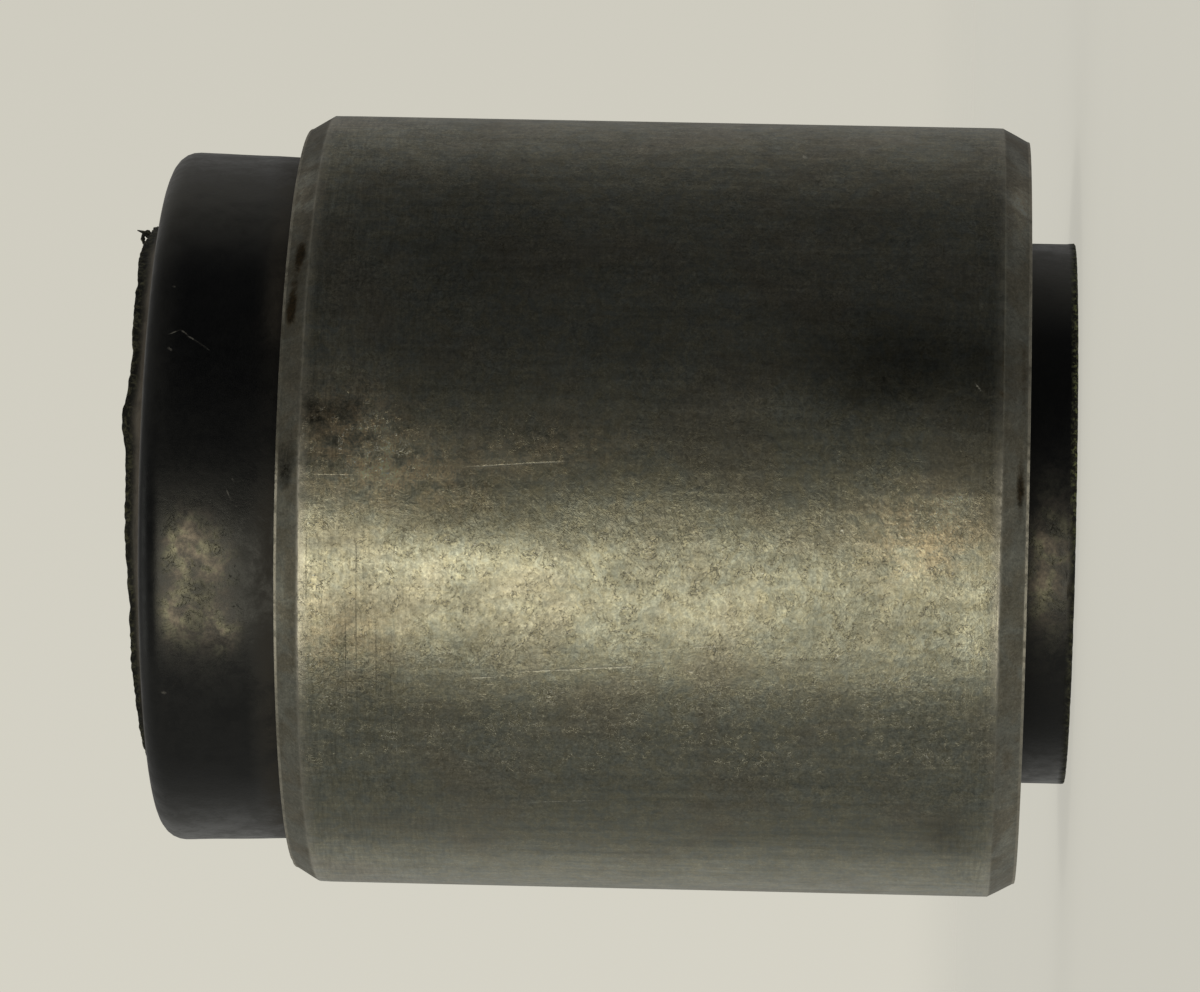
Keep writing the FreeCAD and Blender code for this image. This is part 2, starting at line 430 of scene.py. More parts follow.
def rubber_shape(radius, height, angle, across, along):
    """Tears the upper boss and roughens the lower boss's rim. The moulded faces are only a little wavy."""
    place = (radius * across, radius * along, height)
    if height > SHOULDER_FACE + 0.01 and radius <= BOSS_RADIUS + BOSS_ROOT:
        share = (height - SHOULDER_FACE) / UPPER_BOSS_HEIGHT
        torn = trim_height(angle, across, radius)
        ragged = TORN_WAVES * fractal(place, 0.8) + TORN_GRAIN * fractal(place, 2.4, 3)
        ragged *= smooth_step(TUBE_RADIUS, TUBE_RADIUS + 1.0, radius)
        frayed = FRAY * fractal(place, 1.9, 3) * smooth_step(0.55, 1.0, share)
        lifted = SHOULDER_FACE + share * torn + smooth_step(0.5, 1.0, share) * ragged
        return radius + frayed * smooth_step(TUBE_RADIUS + 0.3, BOSS_RADIUS, radius), lifted
    if height < SLEEVE_FOOT:
        at_rim = bump(height, 0.32) * smooth_step(BOSS_RADIUS - 0.5, BOSS_RADIUS, radius)
        out = TRIM_GRAIN * fractal(place, 3.0, 3) + TRIM_WAVES * fractal(place, 1.1, 2)
        for nib_angle, half_width, size in NIBS:
            out += size * bump(degrees_apart(angle, nib_angle), half_width)
        return radius + at_rim * out, height + at_rim * max(0, TRIM_LIFT * fractal(place, 2.2, 3))
    wavy = MOULD_WAVES * fractal(place, 0.35, 3)
    exposed = smooth_step(SLEEVE_HEAD + 0.2, SLEEVE_HEAD + 1.0, height)
    return radius + wavy * exposed, height


def rubber_torn(radius, height, angle):
    """1 on the torn and trimmed faces, where the rubber is open and granular."""
    if height > SHOULDER_FACE:
        return smooth_step(0.35, 0.8, (height - SHOULDER_FACE) / UPPER_BOSS_HEIGHT)
    trimmed = 1 - smooth_step(0.05, 0.45, height)
    return trimmed * smooth_step(BOSS_RADIUS + 0.5, BOSS_RADIUS, radius)


# Tan patches on the rubber: worn bloom, and a painted highlight where the light falls on the shoulder and
# the lower boss
BLOOM_PATCHES = [
    (8.5, 49.9, 4.2, 0.95, 1.1),
    (19, 50.5, 3.8, 0.8, 0.9),
    (21, 47.9, 3.6, 0.8, 0.85),
    (10, 48.2, 4.0, 0.8, 0.55),
    (14, 49.4, 9.0, 1.7, 0.4),
    (14.5, 49.0, 1.4, 0.4, -0.4),
    (7, 1.4, 4.5, 0.9, 0.65),
    (16, 1.6, 4.5, 0.9, 0.60),
    (12, 1.5, 14, 1.5, 0.35),
]


def rubber_bloom(radius, height, angle):
    """1 where the shoulder and the lower boss are painted tan: worn bloom, and their painted highlight."""
    below_rim = smooth_step(SHOULDER_FACE - 1.1, SHOULDER_FACE - 1.5, height)
    return clamped(spotted(BLOOM_PATCHES, height, angle)) * below_rim


def rubber_dust(radius, height, angle):
    """Grey on the rubber: painted sheen along its upper and lower sides as the camera sees them, a little
    painted highlight from the lit front downwards, and dust on the shoulder's rim, along its crest, and
    beside the sleeve.
    """
    # Painted sheen and highlight, set by the angle round the axis
    shadow_side = smooth_step(-37, -62, angle) * (1 - 0.6 * smooth_step(-85, -125, angle))
    lower_side = 0.2 * smooth_step(8, 30, angle) + 0.55 * smooth_step(50, 80, angle)
    around = 0.5 * max(shadow_side, lower_side)
    if height < SHOULDER_FACE - 9 or radius < BOSS_RADIUS + 1:
        return around
    rim = smooth_step(SHOULDER_FACE - 2.3, SHOULDER_FACE - 0.7, height) * smooth_step(12, -30, angle)
    beside = smooth_step(SLEEVE_HEAD + 1.8, SLEEVE_HEAD + 1.4, height) * smooth_step(-3, 8, angle)
    return min(around + 0.10 * rim + 0.08 * beside, 1)


def rubber_crest(radius, height, angle):
    """Painted highlight: a pale line where the shoulder's face meets its rim. Also the tan root of the
    upper boss.
    """
    if height < SHOULDER_FACE - 1:
        return 0.0
    line = bump(math.hypot(radius - RIM_RADIUS + RIM_ROUNDING, height - SHOULDER_FACE), 0.22)
    root = smooth_step(SHOULDER_FACE + 0.80, SHOULDER_FACE + 0.45, height)
    root *= smooth_step(BOSS_RADIUS + 0.9, BOSS_RADIUS + 0.3, radius)
    return min(line + 0.32 * root, 1)


def rubber_specks(radius, height, angle):
    """1 on the trimmed rim of the lower boss, where olive grains show."""
    shown = 0.15 + 0.85 * window(angle, SPECKLED_RIM)
    at_rim = smooth_step(BOSS_RADIUS - 0.5, BOSS_RADIUS - 0.1, radius)
    return shown * smooth_step(0.42, 0.12, height) * at_rim


def rubber_grime(radius, height, angle):
    """Brownish band on the shoulder beside the sleeve, and on the root of the upper boss."""
    beside_sleeve = bump(height - SLEEVE_HEAD - 0.5, 0.7)
    beside_sleeve *= smooth_step(SLEEVE_BORE - 0.2, SLEEVE_BORE, radius)
    beside_sleeve *= 1 - 0.75 * window(angle, CLEAN_ROOT)
    boss_root = bump(height - SHOULDER_FACE - 0.2, 0.35)
    boss_root *= 1 - smooth_step(BOSS_RADIUS + 0.6, BOSS_RADIUS + 1.4, radius)
    return min(beside_sleeve + boss_root, 1)


# The thread of rubber that curls out of the torn boss: its root, the centre and half size of its loop, the
# steps from that centre to its tip, its half thickness, the loop's turn in degrees, and how many sides the
# thread has.
CURL_ROOT = Vector((14.95, -2.8, 53.3))
CURL_CENTRE = Vector((15.02, -2.8, 54.26))
CURL_LOOP = (0.36, 0.25)
CURL_TIP = [Vector((0.34, 0.02, 0.22)), Vector((0.44, 0.02, 0.58))]
CURL_THREAD = 0.12
CURL_TURN = 320
CURL_RING = 10


def curl_path():
    """Points along the middle of the curled thread."""
    path = [CURL_ROOT]
    for turn in range(-60, CURL_TURN - 59, 20):
        out, up = math.cos(math.radians(turn)), math.sin(math.radians(turn))
        path.append(CURL_CENTRE + Vector((out * CURL_LOOP[0], 0.04 * up, up * CURL_LOOP[1])))
    return path + [CURL_CENTRE + step for step in CURL_TIP]


def add_curl(piece):
    """Joins the curled thread to the rubber's mesh. Its root is inside the boss, and its tip is thin."""
    path = curl_path()
    last = len(path) - 1
    vertices = []
    for index, point in enumerate(path):
        ahead = (path[min(index + 1, last)] - path[max(index - 1, 0)]).normalized()
        side = ahead.cross(Vector((0, 1, 0))).normalized()
        lift = side.cross(ahead)
        width = CURL_THREAD * (1 + 0.25 * math.sin(2.3 * index)) * (0.25 if index == last else 1)
        for corner in range(CURL_RING):
            turn = 2 * math.pi * corner / CURL_RING
            vertices.append((point + (side * math.cos(turn) + lift * math.sin(turn)) * width) * MM)
    faces = []
    for start in range(0, last * CURL_RING, CURL_RING):
        end = start + CURL_RING
        for corner in range(CURL_RING):
            beyond = (corner + 1) % CURL_RING
            faces.append((start + corner, start + beyond, end + beyond, end + corner))
    faces.append(tuple(range(CURL_RING - 1, -1, -1)))
    faces.append(tuple(range(last * CURL_RING, (last + 1) * CURL_RING)))
    made = bpy.data.meshes.new("curl")
    made.from_pydata(vertices, [], faces)
    made.polygons.foreach_set("use_smooth", [True] * len(faces))
    made.attributes.new("torn", "FLOAT", "POINT").data.foreach_set("value", [1.0] * len(vertices))
    joined = bmesh.new()
    joined.from_mesh(piece.data)
    joined.from_mesh(made)
    joined.to_mesh(piece.data)
    joined.free()
    bpy.data.meshes.remove(made)


def make_rubber():
    face = SHOULDER_FACE + UPPER_BOSS_HEIGHT
    corners = [
        (TUBE_RADIUS, 0, 0.15, 0.5),
        (BOSS_RADIUS, 0, 0.12, 0.16),
        (BOSS_RADIUS, RECESS_FACE - BOSS_ROOT, 0.2, 0.2),
        (BOSS_RADIUS + BOSS_ROOT, RECESS_FACE, 0.2, 0.6),
        (SLEEVE_BORE, RECESS_FACE, 0, 8.0),
        (SLEEVE_BORE, SLEEVE_HEAD, 0, 0.5),
        (RIM_RADIUS, SHOULDER_FACE, RIM_ROUNDING, 0.6),
        (BOSS_RADIUS + BOSS_ROOT, SHOULDER_FACE, 0.2, 0.2),
        (BOSS_RADIUS, SHOULDER_FACE + BOSS_ROOT, 0.2, 0.12),
        (BOSS_RADIUS, face, 0.06, 0.22),
        (TUBE_RADIUS, face, 0.1, 0.3),
        (TUBE_RADIUS, TUBE_HEAD, 0, 8.0),
    ]
    masks = {
        "torn": rubber_torn,
        "bloom": rubber_bloom,
        "grime": rubber_grime,
        "dust": rubber_dust,
        "crest": rubber_crest,
        "specks": rubber_specks,
    }
    piece = turned_piece("moulded_rubber", rounded_profile(corners), RUBBER_SEGMENTS, rubber_shape, masks)
    add_curl(piece)
    return piece


# Inner tube
TUBE_SEGMENTS = 256


def plain_shape(radius, height, angle, across, along):
    return radius, height


def tube_burnish(radius, height, angle):
    """The bore's chamfers are rubbed bright."""
    mouth = min(abs(height - TUBE_FOOT), abs(height - TUBE_HEAD)) + abs(radius - TUBE_BORE - 0.5)
    return bump(mouth, 0.3)


def tube_rust(radius, height, angle):
    """Light rust on the end faces and just inside the bore."""
    return 0.45 * bump(min(abs(height - TUBE_FOOT), abs(height - TUBE_HEAD)), 4.0)


def no_mask(radius, height, angle):
    return 0.0


def plain_tone(radius, height, angle):
    return 0.5


def make_tube():
    corners = [
        (TUBE_BORE + 0.5, TUBE_FOOT, 0.1, 0.5),
        (TUBE_RADIUS, TUBE_FOOT, 0.12, 8.0),
        (TUBE_RADIUS, TUBE_HEAD, 0.12, 0.5),
        (TUBE_BORE + 0.5, TUBE_HEAD, 0.1, 0.2),
        (TUBE_BORE, TUBE_HEAD - 0.5, 0.1, 2.0),
        (TUBE_BORE, TUBE_FOOT + 0.5, 0.1, 0.2),
    ]
    masks = {"burnish": tube_burnish, "rust": tube_rust, "tone": plain_tone}
    masks |= dict.fromkeys(("chamfer", "soot", "rubbed", "calm", "lively"), no_mask)
    return turned_piece("steel_tube", rounded_profile(corners), TUBE_SEGMENTS, plain_shape, masks)


# Short ways to add and wire nodes
class Nodes:
    """A node tree, with short ways to add its nodes."""

    def __init__(self, tree):
        self.tree = tree

    def add(self, kind, inputs=None, **settings):
        """New node. A socket among the inputs is linked, and anything else is set."""
        node = self.tree.nodes.new(kind)
        for key, value in settings.items():
            setattr(node, key, value)
        for key, value in (inputs or {}).items():
            if isinstance(value, bpy.types.NodeSocket):
                self.tree.links.new(value, node.inputs[key])
            else:
                node.inputs[key].default_value = value
        return node

    def math(self, operation, first, second=0.0, clamp=False):
        node = self.add("ShaderNodeMath", {0: first, 1: second}, operation=operation, use_clamp=clamp)
        return node.outputs[0]

    def times(self, first, second, clamp=False):
        return self.math("MULTIPLY", first, second, clamp)

    def plus(self, first, second, clamp=False):
        return self.math("ADD", first, second, clamp)

    def minus(self, first, second):
        return self.math("SUBTRACT", first, second)

    def rest(self, value):
        """What is left of 1."""
        return self.math("SUBTRACT", 1.0, value)

    def stronger(self, first, second):
        return self.math("MAXIMUM", first, second)

    def sloped(self, value, slope, offset):
        """The value times its slope, plus the offset."""
        inputs = {0: value, 1: slope, 2: offset}
        return self.add("ShaderNodeMath", inputs, operation="MULTIPLY_ADD").outputs[0]

    def vector_math(self, operation, first, second):
        return self.add("ShaderNodeVectorMath", {0: first, 1: second}, operation=operation).outputs

    def scaled(self, vector, factors):
        return self.vector_math("MULTIPLY", vector, factors)[0]

    def spread(self, value, low, high, to_low=0.0, to_high=1.0):
        """Smooth clamped remap of low..high to to_low..to_high."""
        inputs = {"Value": value, "From Min": low, "From Max": high, "To Min": to_low, "To Max": to_high}
        return self.add("ShaderNodeMapRange", inputs, interpolation_type="SMOOTHSTEP").outputs["Result"]

    def mix(self, factor, first, second):
        inputs = {0: factor, 6: first, 7: second}
        return self.add("ShaderNodeMix", inputs, data_type="RGBA").outputs[2]

    def shaded(self, color, factor):
        """The colour made lighter or darker by a factor."""
        inputs = {0: color, "Scale": factor}
        return self.add("ShaderNodeVectorMath", inputs, operation="SCALE").outputs[0]

    def varied(self, color, value, amount):
        """The colour made lighter and darker by a noise of about 0 to 1."""
        return self.shaded(color, self.sloped(self.minus(value, 0.5), amount, 1.0))


class Graph(Nodes):
    """A material's node tree, with coordinates in millimetres."""

    def __init__(self, name):
        self.material = bpy.data.materials.new(name)
        self.material.use_nodes = True
        super().__init__(self.material.node_tree)
        self.shader = self.tree.nodes["Principled BSDF"]
        coordinates = self.add("ShaderNodeTexCoord")
        self.place = self.scaled(coordinates.outputs["Object"], (1 / MM, 1 / MM, 1 / MM))

    def noise(self, scale, detail=3.0, roughness=0.55, distortion=0.0, stretch=(1, 1, 1)):
        """Noise of about 0 to 1. The scale is in cells per millimetre, before the stretch."""
        inputs = {
            "Vector": self.scaled(self.place, stretch),
            "Scale": scale,
            "Detail": detail,
            "Roughness": roughness,
            "Distortion": distortion,
        }
        return self.add("ShaderNodeTexNoise", inputs).outputs["Fac"]

    def mask(self, name):
        return self.add("ShaderNodeAttribute", attribute_name=name).outputs["Fac"]

    def unrolled(self, radius):
        """The surface of a cylinder rolled flat: X is the arc from the camera's side, Y the height."""
        parts = self.add("ShaderNodeSeparateXYZ", {0: self.place})
        across = self.times(parts.outputs[0], -1.0)
        along = self.times(parts.outputs[1], -1.0)
        arc = self.times(self.math("ARCTAN2", across, along), radius)
        return self.add("ShaderNodeCombineXYZ", {0: arc, 1: parts.outputs[2]}).outputs[0]

    def scratch(self, flat, start, end, width, waver):
        """Mask of one scratch from start to end, each an arc and a height on the unrolled surface."""
        run = Vector((end[0] - start[0], end[1] - start[1], 0))
        ahead = run.normalized()
        across = Vector((-ahead.y, ahead.x, 0))
        from_start = self.vector_math("SUBTRACT", flat, (start[0], start[1], 0))[0]
        along = self.vector_math("DOT_PRODUCT", from_start, ahead)["Value"]
        off = self.vector_math("DOT_PRODUCT", from_start, across)["Value"]
        distance = self.math("ABSOLUTE", self.plus(off, waver))
        line = self.spread(distance, width, width * 0.3)
        taper = min(1.5, run.length * 0.4)
        begun = self.spread(along, 0, taper)
        ended = self.spread(along, run.length, run.length - taper)
        return self.times(line, self.times(begun, ended))

    def scratches(self, radius, rows, waver):
        """Mask of the scratches in rows. The waver bends them off their straight runs."""
        flat = self.unrolled(radius)
        arc = math.radians(1) * radius
        total = None
        for start, end, width in rows:
            mask = self.scratch(flat, (start[0] * arc, start[1]), (end[0] * arc, end[1]), width, waver)
            total = mask if total is None else self.stronger(total, mask)
        return total

    def bump(self, height, distance, strength):
        inputs = {"Height": height, "Distance": distance * MM, "Strength": strength}
        return self.add("ShaderNodeBump", inputs).outputs[0]

    def wire(self, socket, value):
        self.tree.links.new(value, self.shader.inputs[socket])


# Scratches on the sleeve: start and end as degrees and height, then half width in millimetres.
SLEEVE_SCRATCHES = [
    ((-4.8, 34.4), (-6.1, 28.0), 0.06),
    ((24.9, 31.6), (23.5, 24.0), 0.06),
    ((26.0, 34.0), (25.7, 32.2), 0.05),
    ((20.5, 21.6), (20.1, 19.5), 0.05),
    ((-3.4, 43.2), (-3.4, 39.6), 0.03),
    ((22.6, 35.6), (24.0, 35.3), 0.06),
    ((24.0, 21.7), (24.4, 21.2), 0.09),
    ((-64.3, 15.9), (-62.6, 15.65), 0.20),
    ((-18.7, 6.0), (-17.2, 5.5), 0.07),
    ((49.0, 31.0), (48.0, 26.0), 0.03),
]
# Dark lines turned into the sleeve: the same numbers.
TOOL_LINES = [
    ((4.0, 40.1), (36.0, 40.1), 0.04),
    ((13.0, 40.7), (33.0, 40.7), 0.04),
    ((16.0, 39.0), (30.0, 39.0), 0.04),
    ((3.0, 42.9), (17.0, 42.9), 0.04),
    ((20.0, 38.2), (38.0, 38.2), 0.04),
]
# Depth of the steel's grain in millimetres
STEEL_RELIEF = 0.02
# Colours of the steel
STEEL_WARM = (0.57, 0.535, 0.39, 1)
STEEL_COOL = (0.475, 0.485, 0.415, 1)
STEEL_BROWN = (0.48, 0.42, 0.315, 1)
RUBBED_BROWN = (0.66, 0.51, 0.33, 1)
GLINT = (0.93, 0.90, 0.76, 1)
# Pale veins, painted as glints
VEIN_PALE = (0.96, 0.94, 0.83, 1)
CHAMFER_BROWN = (0.44, 0.395, 0.315, 1)
CHAMFER_GREY = (0.50, 0.49, 0.43, 1)
# Rubbed steel, which also paints the edges' highlight
BURNISHED = (0.76, 0.71, 0.60, 1)
RUST_DARK = (0.040, 0.028, 0.014, 1)
RUST_LIGHT = (0.150, 0.092, 0.040, 1)
SCRATCH_PALE = (0.86, 0.82, 0.70, 1)
LINE_DARK = (0.15, 0.14, 0.12, 1)


class Steel(Graph):
    """Bare steel's node tree, with the noises and masks that several of its steps use."""

    def __init__(self, name):
        super().__init__(name)
        self.mottle = self.noise(0.40, 4.0, 0.85, 0.5)
        self.clumps = self.noise(1.1, 2.0, 0.7, 1.4)
        self.worms = self.noise(2.1, 3.0, 0.75, 2.6)
        self.flecks = self.noise(5.5, 2.0, 0.7, 1.0)
        self.turning = self.noise(1.0, 3.0, 0.75, 0.0, (0.55, 0.55, 6.0))
        self.drawn = self.noise(1.0, 3.0, 0.65, 0.0, (3.0, 3.0, 0.22))
        self.hue = self.noise(1.3, 4.0, 0.75, 0.8)
        self.rubs = self.noise(0.9, 5.0, 0.85, 0.3)
        self.patches = self.noise(0.45, 4.0, 0.65, 0.6)
        self.etching = self.noise(0.28, 4.0, 0.7, 0.5)
        self.etched = self.spread(self.etching, 0.36, 0.64, 0.45, 1.7)
        self.chamfer = self.mask("chamfer")
        self.rubbed = self.mask("rubbed")
        # The lit front, where grain and glints are painted stronger, and the rubbed places
        self.lively = self.stronger(self.mask("lively"), self.rubbed)
        self.turned = self.turned_zone()

    def turned_zone(self):
        """1 near the ends of the turned outside, where the turning marks are deep, and 0.25 elsewhere."""
        height = self.add("ShaderNodeSeparateXYZ", {0: self.place}).outputs[2]
        near_head = self.spread(height, SLEEVE_HEAD - 14, SLEEVE_HEAD - 2)
        near_foot = self.spread(height, SLEEVE_FOOT + 6, SLEEVE_FOOT + 1)
        near_end = self.times(self.stronger(near_head, near_foot), self.rest(self.chamfer))
        return self.plus(self.times(near_end, 0.75), 0.25)


def steel_tint(steel):
    """Steel's own colour: cool and warm by turns, with brown clouds and browner rubbed places."""
    clouds = steel.noise(0.16, 4.0, 0.6, 0.4)
    browned = steel.times(steel.rubbed, steel.spread(steel.rubs, 0.40, 0.60, 0.1, 0.9))
    base = steel.mix(steel.spread(steel.hue, 0.34, 0.66), STEEL_COOL, STEEL_WARM)
    base = steel.mix(steel.spread(clouds, 0.46, 0.66, 0.0, 0.5), base, STEEL_BROWN)
    return steel.mix(browned, base, RUBBED_BROWN)


def steel_grain(steel, tint):
    """Pickled grain, coarse to fine, finer where the steel is calm, with more contrast painted on the lit
    front, and small glints.
    """
    base = steel.varied(tint, steel.mottle, 0.6)
    base = steel.varied(base, steel.clumps, 0.55)
    base = steel.varied(base, steel.worms, steel.etched)
    base = steel.varied(base, steel.flecks, 0.85)
    base = steel.varied(base, steel.rubs, steel.times(steel.rubbed, 3.0))
    base = steel.varied(base, steel.flecks, steel.times(steel.lively, 0.3))
    base = steel.mix(steel.mask("calm"), base, tint)
    glints = steel.times(steel.spread(steel.flecks, 0.60, 0.72), steel.spread(steel.hue, 0.42, 0.60))
    glints = steel.times(glints, steel.spread(steel.rubbed, 0.0, 1.0, 0.35, 1.0))
    return steel.mix(glints, base, GLINT)


def steel_veins(steel):
    """Masks of the pale and the dark thin crooked lines in the grain. The pale lines paint glints."""
    strokes_here = steel.stronger(steel.spread(steel.etching, 0.38, 0.62, 0.25, 1.0), steel.rubbed)
    strokes_here = steel.times(strokes_here, steel.spread(steel.hue, 0.50, 0.60))
    veins = steel.noise(1.5, 2.0, 0.6, 2.4)
    pale = steel.spread(steel.math("ABSOLUTE", steel.minus(veins, 0.545)), 0.028, 0.004)
    dark = steel.spread(steel.math("ABSOLUTE", steel.minus(veins, 0.505)), 0.024, 0.004)
    return steel.times(pale, strokes_here), steel.times(dark, strokes_here)


def steel_faces(steel, base):
    """Turning marks and long drawn streaks, and the plainer turned faces of the chamfers."""
    long_streaks = steel.noise(1.0, 4.0, 0.6, 0.0, (1.0, 1.0, 0.07))
    base = steel.varied(base, steel.turning, steel.turned)
    base = steel.varied(base, steel.drawn, 0.5)
    base = steel.varied(base, long_streaks, 0.5)
    face = steel.mix(steel.spread(steel.patches, 0.40, 0.60), CHAMFER_BROWN, CHAMFER_GREY)
    face = steel.varied(face, steel.rubs, 1.1)
    face = steel.varied(face, steel.flecks, 1.1)
    return steel.mix(steel.times(steel.chamfer, 0.75), base, face)


def steel_stains(steel, base):
    """Lighter and darker patches, partly stains and partly painted highlight and shade, and soot."""
    doublings = steel.times(steel.minus(steel.mask("tone"), 0.5), 4.0)
    doublings = steel.times(doublings, steel.spread(steel.patches, 0.3, 0.6, 0.7, 1.2))
    base = steel.shaded(base, steel.math("POWER", 2.0, doublings))
    soot = steel.times(steel.mask("soot"), steel.spread(steel.rubs, 0.38, 0.60, 0.85, 0.45))
    return steel.shaded(base, steel.rest(soot))


def steel_rust(steel):
    """Mask of the rust, with uneven edges."""
    painted = steel.mask("rust")
    uneven = steel.plus(painted, steel.times(steel.minus(steel.hue, 0.5), 0.9))
    rust = steel.times(steel.spread(uneven, 0.05, 1.15), steel.spread(painted, 0.02, 0.4))
    return steel.spread(rust, 0.0, 0.80, 0.0, 0.85)


def steel_relief(steel, cut):
    """Height of the grain, the turning marks and the veins' cuts."""
    relief = steel.plus(steel.times(steel.times(steel.worms, steel.etched), 0.8), steel.clumps)
    relief = steel.plus(relief, steel.times(steel.flecks, 0.2))
    relief = steel.plus(relief, steel.times(steel.turning, steel.times(steel.turned, 0.5)))
    relief = steel.plus(relief, steel.times(steel.drawn, 0.2))
    return steel.plus(relief, steel.times(cut, steel.spread(steel.lively, 0.0, 1.0, 0.08, 0.6)))


def sleeve_marks(steel):
    """Masks of the sleeve's bright scratches and of its dark turned lines."""
    wander = steel.minus(steel.noise(0.5, 2.0), 0.5)
    bright = steel.scratches(SLEEVE_RADIUS, SLEEVE_SCRATCHES, steel.times(wander, 0.05))
    bright = steel.times(bright, steel.spread(steel.flecks, 0.36, 0.58, 0.25, 1.0))
    lines = steel.scratches(SLEEVE_RADIUS, TOOL_LINES, steel.times(wander, 0.03))
    return bright, steel.times(lines, steel.spread(steel.turning, 0.35, 0.6))


def steel_material(name, scratched):
    """Bare steel: pickled grain, turning marks, fine scratches, brown tints, rust and rubbed edges. On the
    lit front it paints a highlight on the edges and glints in the grain, and some patches hold painted
    highlight and shade.
    """
    steel = Steel(name)
    worn_edge = steel.spread(steel.noise(1.8, 4.0, 0.8), 0.34, 0.56, 0.35, 1.0)
    burnish = steel.times(steel.mask("burnish"), worn_edge)
    pale_vein, dark_vein = steel_veins(steel)
    # The pale veins are painted glints, strongest on the lit front
    pale = steel.times(pale_vein, steel.spread(steel.lively, 0.0, 1.0, 0.3, 1.0))
    rusted = steel_rust(steel)

    base = steel_grain(steel, steel_tint(steel))
    base = steel.mix(pale, base, VEIN_PALE)
    base = steel.shaded(base, steel.rest(steel.times(dark_vein, 0.30)))
    base = steel_faces(steel, base)
    # Stains, and patches of painted highlight and shade
    base = steel_stains(steel, base)
    # Rubbed edges, with a painted highlight on the lit front
    base = steel.mix(burnish, base, BURNISHED)
    rust_color = steel.mix(steel.spread(steel.worms, 0.38, 0.66), RUST_DARK, RUST_LIGHT)
    base = steel.mix(rusted, base, rust_color)

    # A small share of the brightest metal scatters light, so that it shines from every side.
    dull = steel.times(burnish, steel.spread(burnish, 0.60, 1.0, 0.12, 0.28))
    dull = steel.stronger(dull, steel.times(steel.times(pale, pale), 0.12))
    rough = steel.spread(steel.mottle, 0.30, 0.70, 0.38, 0.30)
    rough = steel.plus(rough, steel.times(steel.chamfer, 0.20))
    rough = steel.plus(rough, steel.times(rusted, 0.4), True)
    relief = steel_relief(steel, steel.minus(pale_vein, dark_vein))

    if scratched:
        bright, lines = sleeve_marks(steel)
        base = steel.mix(steel.times(bright, 0.7), base, SCRATCH_PALE)
        base = steel.mix(steel.times(lines, 0.4), base, LINE_DARK)
        dull = steel.stronger(dull, steel.times(bright, 0.16))
        relief = steel.minus(relief, steel.times(steel.stronger(bright, lines), 0.4))

    steel.wire("Base Color", base)
    steel.wire("Roughness", rough)
    steel.wire("Metallic", steel.rest(dull))
    relief = steel.times(relief, steel.rest(steel.mask("calm")))
    steel.wire("Normal", steel.bump(relief, STEEL_RELIEF, 0.58))
    return steel.material


# Pale marks on the shoulder: start and end as degrees and height, then half width in millimetres.
RUBBER_MARKS = [
    ((-26.5, 51.4), (-27.6, 50.6), 0.05),
    ((-27.7, 50.7), (-26.4, 50.1), 0.06),
    ((-26.6, 50.3), (-25.5, 49.6), 0.06),
    ((-25.8, 49.8), (-23.9, 48.8), 0.045),
    ((-1.5, 47.7), (0.8, 47.3), 0.06),
    ((-3.0, 47.4), (-2.2, 47.2), 0.07),
    ((1.2, 47.2), (1.9, 46.9), 0.06),
    ((33.2, 51.4), (33.8, 51.1), 0.12),
    ((-24.4, 51.3), (-23.6, 51.0), 0.10),
    ((-36.0, 51.3), (-35.5, 51.1), 0.07),
]
# Depth of the rubber's grain and cracks in millimetres
RUBBER_RELIEF = 0.05
# Colours of the rubber
RUBBER_BLACK = (0.0006, 0.0007, 0.0009, 1)
RUBBER_GREY = (0.0020, 0.0021, 0.0023, 1)
# The next two colours paint worn bloom and the rubber's highlight
BLOOM_TAN = (0.27, 0.215, 0.150, 1)
BLOOM_OLIVE = (0.33, 0.305, 0.185, 1)
GRIME_BROWN = (0.034, 0.025, 0.014, 1)
# Dust, and painted sheen
DUST_GREY = (0.085, 0.082, 0.074, 1)
TORN_DARK = (0.007, 0.0075, 0.004, 1)
TORN_OLIVE = (0.070, 0.068, 0.030, 1)
# The next two colours paint the crest's highlight; the first also paints the tan root of the upper boss
CREST_TAN = (0.25, 0.215, 0.17, 1)
CREST_PALE = (0.42, 0.35, 0.29, 1)
SPECK_OLIVE = (0.13, 0.145, 0.045, 1)
MARK_PALE = (0.16, 0.15, 0.13, 1)


class Rubber(Graph):
    """The rubber's node tree, with the noises that several of its steps use."""

    def __init__(self, name):
        super().__init__(name)
        self.fine = self.noise(4.5, 4.0, 0.65)
        self.blotches = self.noise(0.7, 5.0, 0.75, 0.3)
        self.crumbs = self.noise(3.0, 4.0, 0.75, 0.5)
        self.patches = self.noise(0.9, 3.0, 0.6, 0.4)
        self.grains = self.noise(4.5, 2.0, 0.6)


def rubber_cracks(rubber):
    """Mask of thin crooked cracks, in patches."""
    cracks = rubber.noise(1.0, 3.0, 0.65, 1.4, (1.5, 1.5, 1.9))
    off_crack = rubber.math("ABSOLUTE", rubber.minus(cracks, 0.5))
    return rubber.times(rubber.spread(off_crack, 0.020, 0.0), rubber.spread(rubber.patches, 0.50, 0.60))


def rubber_worn(rubber, base, cracks):
    """Tan patches, uneven and cracked, over the base colour: worn bloom that also paints the highlight."""
    bloom = rubber.times(rubber.mask("bloom"), rubber.spread(rubber.blotches, 0.36, 0.62, 0.3, 1.15))
    bloom = rubber.times(bloom, rubber.rest(rubber.times(cracks, 0.7)))
    color = rubber.mix(rubber.spread(rubber.patches, 0.42, 0.58), BLOOM_TAN, BLOOM_OLIVE)
    color = rubber.varied(color, rubber.fine, 1.6)
    color = rubber.varied(color, rubber.blotches, 1.6)
    return rubber.mix(rubber.times(bloom, 0.85, True), base, color)


